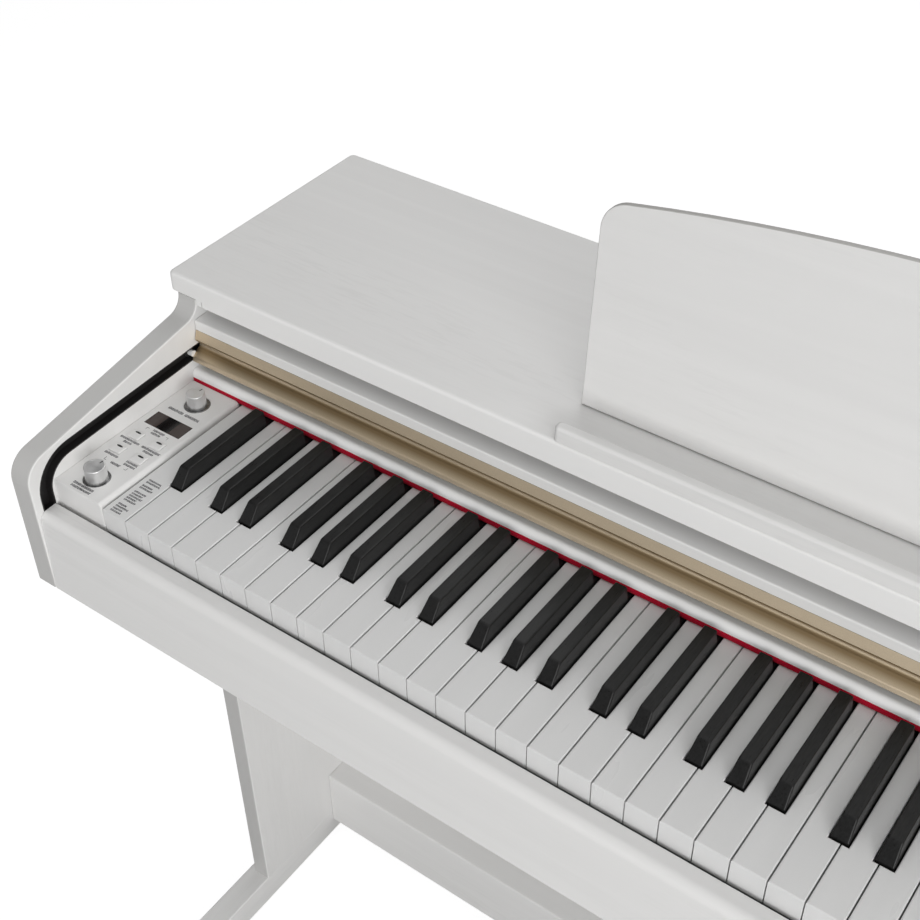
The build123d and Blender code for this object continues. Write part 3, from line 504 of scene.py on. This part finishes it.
SLOTS = {
    "white_plastic": moulded_plastic("white_plastic", PANEL_WHITE, 0.36),
    "key_white": key_plastic("key_white"),
    "key_black": black_key_plastic("key_black"),
    "champagne_metal": blasted_metal("champagne_metal", CHAMPAGNE, CHAMPAGNE_SPECK_AND_COVE_SHADE),
    "black_plastic": moulded_plastic("black_plastic", (0.014, 0.013, 0.013), 0.45, 0.8),
    "display": display_glass(),
    "red_felt": felt(),
    "steel": brushed_metal("steel", (0.56, 0.57, 0.58), 0, 0.32),
    "brass": brushed_metal("brass", (0.80, 0.58, 0.26), 1, 0.22),
    "rubber": rough_solid("rubber", (0.025, 0.025, 0.025), 0.75),
    "circuit_board": rough_solid("circuit_board", (0.02, 0.13, 0.06), 0.4, 900, 0.03),
    "bed_board": rough_solid("bed_board", (0.60, 0.60, 0.59), 0.6, 260, 0.15),
    "speaker": rough_solid("speaker", (0.03, 0.03, 0.032), 0.6, 400, 0.1),
    "grille": rough_solid("grille", (0.02, 0.02, 0.02), 0.45, 1200, 0.05),
    "print_ink": ink(),
    "white_lacquer": lacquered_wood("white_lacquer"),
}
# The side boards carry painted shade on their edge faces
SIDE_WOOD = lacquered_wood("white_lacquer_side", (2, 1), painted_edge_tone=SIDE_EDGE_PAINTED_SHADE)
UPRIGHT_WOOD = lacquered_wood("white_lacquer_depth", (1,))
NODE_MATERIALS = {
    # The lid carries a painted highlight on its front edge, and the rest carries painted shade on its upward
    # and downward edges
    "top_panel": lacquered_wood("white_lacquer_lid", painted_edge_tone=LID_FRONT_PAINTED_HIGHLIGHT, painted_edge_axis=1),
    "rest_panel": lacquered_wood("white_lacquer_rest", painted_edge_tone=REST_EDGE_PAINTED_SHADE, painted_edge_axis=2),
    "side_left": SIDE_WOOD,
    "side_right": SIDE_WOOD,
    "side_feet": UPRIGHT_WOOD,
    "volume_knob": turned_metal("turned_volume", "volume_knob"),
    "data_knob": turned_metal("turned_data", "data_knob"),
    "stop_rail": moulded_plastic("rail_plastic", RAIL_WHITE, 0.30),
    "cover_rollers": roller_plastic(),
    "knob_collars": rough_solid("collar_metal", COLLAR_GREY, 0.30, 900, 0.02, metallic=1.0, strength=0.1),
}


def dress_cad_nodes():
    """Gives each CAD node the material of its slot, or its own."""
    for part in frame["record"]["subparts"]:
        node = NODES[part["node"]]
        material = NODE_MATERIALS.get(part["node"]) or SLOTS[part["material_slot"]]
        for slot in node.material_slots:
            slot.material = material


# Pieces

def new_piece(name, mesh, body, material):
    piece = bpy.data.objects.new(name, mesh)
    bpy.context.scene.collection.objects.link(piece)
    mesh.materials.append(material)
    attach(piece, body)
    return piece


FELT_COLUMNS = 420
FELT_ROUNDING = 0.7 * MM
FELT_SINK = 0.15 * MM
FELT_WAVE = 0.12 * MM
FELT_WAVE_STEP = 0.9
FELT_FRAY = 0.1 * MM
# Of the outline's corners, those on the front face
FELT_FRONT = (1, 2)


def felt_strip():
    """A soft strip with a rounded, slightly uneven front edge."""
    low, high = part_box("felt_strip")
    corners = (
        (low.y + FELT_ROUNDING, low.z), (low.y, low.z + FELT_ROUNDING), (low.y, high.z - FELT_ROUNDING),
        (low.y + FELT_ROUNDING, high.z), (high.y, high.z), (high.y, low.z),
    )
    draw = random.Random(7)
    mesh = bpy.data.meshes.new("felt")
    build = bmesh.new()
    rings = []
    for i in range(FELT_COLUMNS + 1):
        x = low.x + (high.x - low.x) * i / FELT_COLUMNS
        sag = FELT_WAVE * math.sin(i * FELT_WAVE_STEP) + draw.uniform(-FELT_FRAY, FELT_FRAY)
        ring = []
        for number, (y, z) in enumerate(corners):
            if number in FELT_FRONT:
                y += FELT_SINK + sag
            ring.append(build.verts.new((x, y, z)))
        rings.append(ring)
    for before, after in zip(rings, rings[1:]):
        for j in range(len(corners)):
            k = (j + 1) % len(corners)
            build.faces.new((before[j], before[k], after[k], after[j]))
    build.faces.new(list(reversed(rings[0])))
    build.faces.new(rings[-1])
    bmesh.ops.recalc_face_normals(build, faces=build.faces)
    build.to_mesh(mesh)
    build.free()
    piece = new_piece("felt_band", mesh, "cabinet", SLOTS["red_felt"])
    for face in mesh.polygons:
        face.use_smooth = True
    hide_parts("felt_strip")


# Greeked print: rows of small upright bars stand for the words. Each row is its first and last
# distance from the panel's middle line, its distance from the block's front edge, and its height, in mm
PANEL_WORDS = (
    (-15.6, 0.2, 112.5, 2.4), (2.0, 16.0, 112.5, 2.4),
    (-5.0, 6.3, 84.9, 1.9), (-4.5, 5.0, 81.7, 1.9),
    (-21.0, -1.2, 65.6, 1.9), (-14.7, -6.3, 62.4, 1.9),
    (1.7, 19.9, 65.6, 1.9), (6.2, 16.4, 62.4, 1.9),
    (-17.5, -3.6, 45.6, 1.9),
    (4.9, 16.4, 46.4, 1.9), (5.2, 16.8, 43.3, 1.9),
    (-4.3, 4.5, 38.9, 1.9),
    (-10.7, 10.6, 7.4, 2.1), (-10.0, 9.5, 4.0, 1.8),
)
# Thin rules, each as its middle, width and depth, on the same measures
PANEL_RULES = (
    (-11.3, 83.5, 0.35, 2.6), (-10.2, 84.7, 2.5, 0.35), (11.7, 82.9, 0.35, 2.6), (10.5, 84.1, 2.5, 0.35),
    (-11.5, 40.1, 0.35, 3.2), (-10.4, 38.5, 2.5, 0.35), (11.9, 39.8, 0.35, 2.6), (10.7, 38.5, 2.5, 0.35),
    (-12.8, 130.5, 0.9, 0.9),
)
# Rows on the lowest key: distance from the front of the key, and length
KEY_ROWS = (
    (3.8, 10.5), (6.5, 9.0), (9.2, 12.0), (11.9, 8.5),
    (17.4, 11.0), (20.1, 9.5), (22.8, 12.0), (25.5, 10.0), (28.2, 11.5),
    (33.6, 12.5), (36.3, 10.0), (40.6, 13.0), (43.3, 12.0),
)
KEY_MARGIN = 4.6
KEY_WORD_HEIGHT = 1.5
STROKE = 0.64
PITCH = 1.05
CROSSBAR = 0.42
PRINT_THICK = 0.03 * MM


def word_bars(x0, x1, y, height, draw):
    """One greeked word: upright strokes of uneven height, and a few short crossbars."""
    bars = []
    x = x0 + STROKE / 2
    while x < x1:
        tall = height * draw.uniform(0.95, 1.30)
        bars.append((x, y, STROKE, tall))
        if draw.random() < 0.6:
            bars.append((x + PITCH / 2, y + draw.choice((-0.4, 0.0, 0.4)) * tall, PITCH, CROSSBAR))
        x += PITCH
    return bars


def printed(name, body, origin, bars):
    """Flat printed bars on a level surface. Bars are in mm from the origin, which is in metres."""
    build = bmesh.new()
    for x, y, width, depth in bars:
        corners = []
        for z in (-PRINT_THICK, PRINT_THICK):
            for sx, sy in ((-1, -1), (1, -1), (1, 1), (-1, 1)):
                offset = Vector(((x + sx * width / 2) * MM, (y + sy * depth / 2) * MM, z))
                corners.append(build.verts.new(origin + offset))
        for face in ((3, 2, 1, 0), (4, 5, 6, 7), (0, 1, 5, 4), (1, 2, 6, 5), (2, 3, 7, 6), (3, 0, 4, 7)):
            build.faces.new([corners[i] for i in face])
    mesh = bpy.data.meshes.new(name)
    build.to_mesh(mesh)
    build.free()
    new_piece(name, mesh, body, SLOTS["print_ink"])


def panel_print():
    block_low, block_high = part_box("control_block")
    display_low, display_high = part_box("display_window")
    origin = Vector(((display_low.x + display_high.x) / 2, block_low.y, block_high.z))
    draw = random.Random(3)
    bars = list(PANEL_RULES)
    for row in PANEL_WORDS:
        bars += word_bars(*row, draw)
    printed("panel_print", "cabinet", origin, bars)


def key_print():
    low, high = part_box("keys_white_others")
    origin = Vector((low.x, low.y, high.z))
    draw = random.Random(5)
    bars = []
    for y, length in KEY_ROWS:
        bars += word_bars(KEY_MARGIN, KEY_MARGIN + length, y, KEY_WORD_HEIGHT, draw)
    printed("key_print", "keys_white_others", origin, bars)


# Dark inserts in the buttons and knobs. Each size is half the length and half the width
BUTTON_COUNT = 4
INSERT_DEPTH = 0.12 * MM
RECESS_OFFSET = Vector((-0.3 * MM, 2.7 * MM, 0))
WINDOW_SIZE = (3.0 * MM, 0.95 * MM)
WINDOW_THICK = 0.16 * MM
POINTER_ANGLE = 80
POINTER_INSET = 2.25 * MM
POINTER_SIZE = (1.65 * MM, 0.42 * MM)
POINTER_THICK = 0.25 * MM
LENS_STEPS = 16
# Of the lens's outline, and of its thickness
LENS_CROWN = (0.72, 0.4)
LENS_POINT = 0.3


def lens(name, body, centre, size, angle, thick):
    """A slim insert with pointed ends and a crowned top."""
    build = bmesh.new()
    half_length, half_width = size
    top, rise = LENS_CROWN
    along, aside = math.cos(angle), math.sin(angle)
    rings = []
    for inset, z in ((1.0, -thick), (1.0, 0.0), (top, rise * thick)):
        ring = []
        for i in range(LENS_STEPS):
            a = 2 * math.pi * i / LENS_STEPS
            u = inset * half_length * math.cos(a)
            v = inset * half_width * math.sin(a) * abs(math.sin(a)) ** LENS_POINT
            ring.append(build.verts.new(centre + Vector((u * along - v * aside, u * aside + v * along, z))))
        rings.append(ring)
    for under, over in zip(rings, rings[1:]):
        for i in range(LENS_STEPS):
            j = (i + 1) % LENS_STEPS
            build.faces.new((under[i], under[j], over[j], over[i]))
    build.faces.new(list(reversed(rings[0])))
    build.faces.new(rings[-1])
    mesh = bpy.data.meshes.new(name)
    build.to_mesh(mesh)
    build.free()
    new_piece(name, mesh, body, SLOTS["black_plastic"])


def button_windows():
    """The dark slit towards the rear of each button's cap, set in the cap's recess."""
    for number in range(1, BUTTON_COUNT + 1):
        name = f"panel_button_{number}"
        low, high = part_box(name)
        centre = (low + high) / 2 + RECESS_OFFSET
        centre.z = high.z - INSERT_DEPTH
        lens(f"button_window_{number}", name, centre, WINDOW_SIZE, 0.0, WINDOW_THICK)


def knob_pointers():
    """A dark line let into the slot on top of each knob."""
    angle = math.radians(POINTER_ANGLE)
    for name in ("volume_knob", "data_knob"):
        low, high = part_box(name)
        slot_radius = (high.x - low.x) / 2 - POINTER_INSET
        centre = (low + high) / 2 + Vector((math.cos(angle), math.sin(angle), 0)) * slot_radius
        centre.z = high.z - INSERT_DEPTH
        lens(name.replace("knob", "pointer"), name, centre, POINTER_SIZE, angle, POINTER_THICK)


add_camera()
add_world()
add_floor()
add_lights()
dress_cad_nodes()
felt_strip()
panel_print()
key_print()
button_windows()
knob_pointers()
